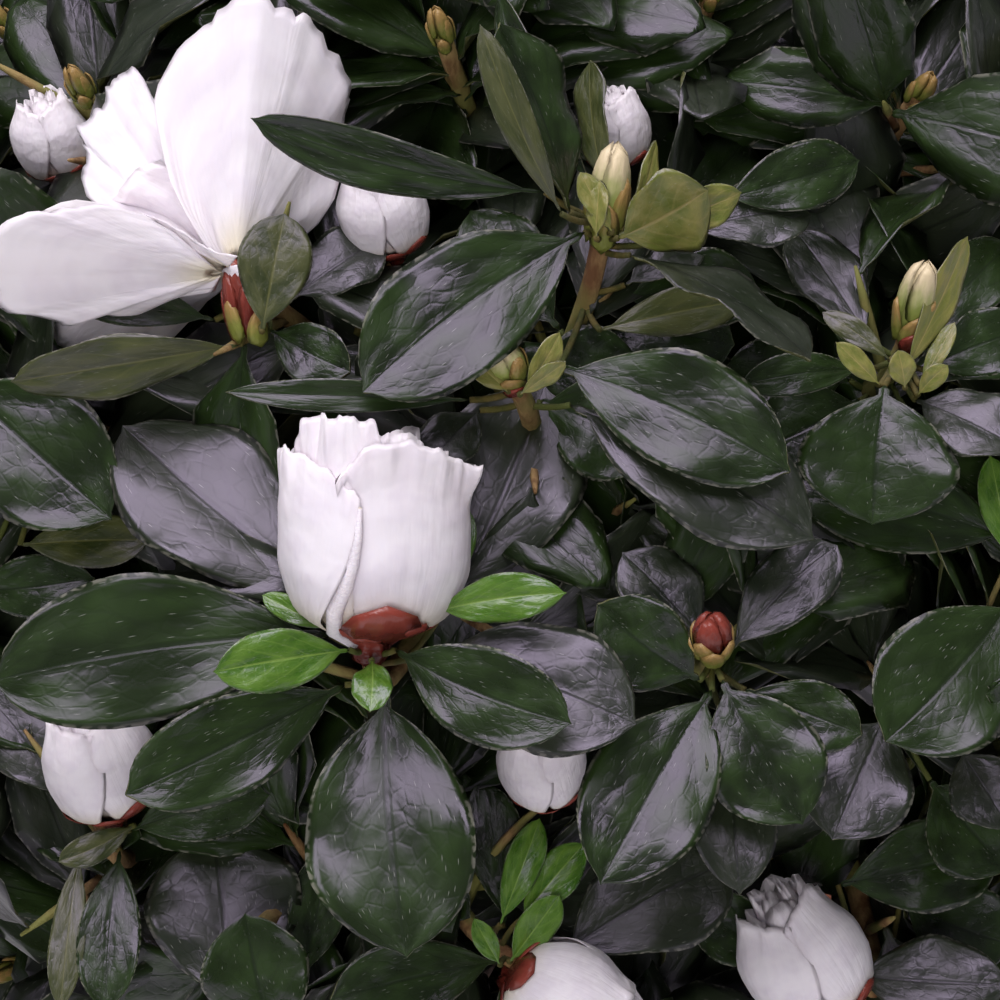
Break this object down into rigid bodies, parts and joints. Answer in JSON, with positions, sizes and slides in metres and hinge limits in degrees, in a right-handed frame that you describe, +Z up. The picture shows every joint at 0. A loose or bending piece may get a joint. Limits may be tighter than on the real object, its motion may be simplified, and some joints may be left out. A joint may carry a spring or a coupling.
{
  "type": "potted azalea shrub",
  "caption": "Low, dense evergreen azalea shrub with a domed crown of dark leaves and white double blooms, on a short forked stem in a plain round clay pot.",
  "frame": {"origin": "middle of the pot's flat underside", "axes": "+Z up; -Y is the front, the side with the open flower and the best blooms; +X to the right as seen from the front"},
  "size_m": [0.3103, 0.2985, 0.3142],
  "materials": {
    "clay": "matt, unglazed",
    "compost": "moist, crumbly",
    "bark": "rough",
    "leaves": "leathery, with a soft pale gloss and fine hairs",
    "petals": "matt, soft, slightly translucent"
  },
  "bodies": {
    "root": {"pot": "clay", "compost": "compost", "stem": "bark", "bough_top": "bark", "bough_upper_front": "bark", "bough_upper_right": "bark", "bough_upper_back_right": "bark", "bough_upper_back_left": "bark", "bough_upper_left": "bark", "bough_lower_front": "bark", "bough_lower_front_right": "bark", "bough_lower_right": "bark", "bough_lower_back_right": "bark", "bough_lower_back": "bark", "bough_lower_back_left": "bark", "bough_lower_left": "bark", "bough_lower_front_left": "bark", "foliage_top": "leaves", "foliage_upper_front": "leaves", "foliage_upper_right": "leaves", "foliage_upper_back_right": "leaves", "foliage_upper_back_left": "leaves", "foliage_upper_left": "leaves", "foliage_lower_front": "leaves", "foliage_lower_front_right": "leaves", "foliage_lower_right": "leaves", "foliage_lower_back_right": "leaves", "foliage_lower_back": "leaves", "foliage_lower_back_left": "leaves", "foliage_lower_left": "leaves", "foliage_lower_front_left": "leaves"}
  },
  "joints": []
}
